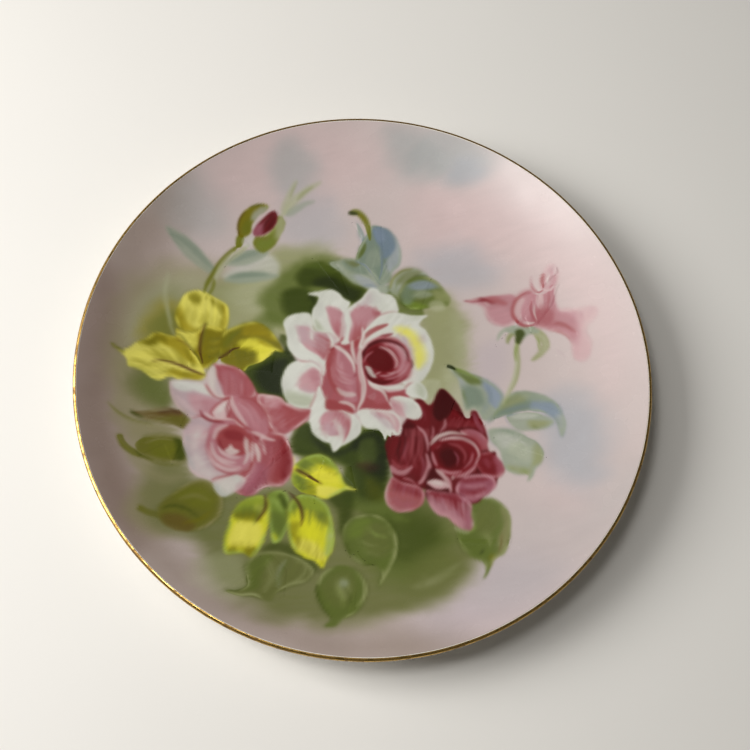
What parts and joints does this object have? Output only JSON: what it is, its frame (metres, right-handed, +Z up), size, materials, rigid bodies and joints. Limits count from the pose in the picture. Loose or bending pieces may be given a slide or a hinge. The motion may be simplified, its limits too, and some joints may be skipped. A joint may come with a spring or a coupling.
{
  "type": "painted plate",
  "caption": "Round coupe plate of porcelain on a low foot ring, hand painted with roses and leaves over a tinted ground, with a thin gold line round its lip.",
  "frame": {"origin": "on the table, under the centre of the foot ring", "axes": "+Z up along the plate's turning axis; +Y towards the top of the painted picture, +X to its right"},
  "size_m": [0.2664, 0.2664, 0.0262],
  "materials": {
    "bare_porcelain": "unglazed, fine and matt, seen only on the bottom of the foot ring",
    "clear_glaze": "clear glossy glaze over white porcelain",
    "tinted_ground": "glossy pale mauve pink ground with soft grey green mist around the flowers",
    "gold": "thin burnished gold line, slightly worn",
    "white_rose": "glossy white petals shaded rose pink, with a crimson heart",
    "crimson_rose": "glossy crimson petals with wiped pink edges",
    "pink_rose": "glossy pink petals shaded from pale mauve to brick red",
    "side_rose": "glossy thin pink petals fading into the ground",
    "rosebud": "glossy red bud in olive green sepals on a thin stem",
    "yellow_leaf": "glossy lemon and ochre leaves with red brown veins",
    "dark_leaf": "glossy deep green leaves in the shade behind the roses",
    "olive_leaf": "glossy olive brown leaves",
    "green_leaf": "glossy moss green leaves with wiped veins",
    "blue_leaf": "glossy pale grey blue and grey green leaves"
  },
  "bodies": {
    "root": {"porcelain_body": "bare_porcelain", "glaze_coat": "clear_glaze", "underside_glaze": "clear_glaze", "painted_ground": "tinted_ground", "gold_rim_band": "gold", "white_rose_enamel": "white_rose", "crimson_rose_enamel": "crimson_rose", "pink_rose_enamel": "pink_rose", "side_rose_enamel": "side_rose", "rosebud_enamel": "rosebud", "upper_yellow_leaves_enamel": "yellow_leaf", "lower_yellow_leaves_enamel": "yellow_leaf", "dark_upper_leaf_enamel": "dark_leaf", "dark_left_leaf_enamel": "dark_leaf", "dark_centre_leaves_enamel": "dark_leaf", "slim_olive_leaf_enamel": "olive_leaf", "middle_olive_leaf_enamel": "olive_leaf", "curled_olive_leaf_enamel": "olive_leaf", "left_green_leaf_enamel": "green_leaf", "bottom_green_leaf_enamel": "green_leaf", "centre_green_leaf_enamel": "green_leaf", "right_green_leaf_enamel": "green_leaf", "upper_green_leaf_enamel": "green_leaf", "blue_tip_leaf_enamel": "blue_leaf", "inner_blue_leaf_enamel": "blue_leaf", "outer_blue_leaf_enamel": "blue_leaf", "pale_green_leaf_enamel": "blue_leaf"}
  },
  "joints": []
}
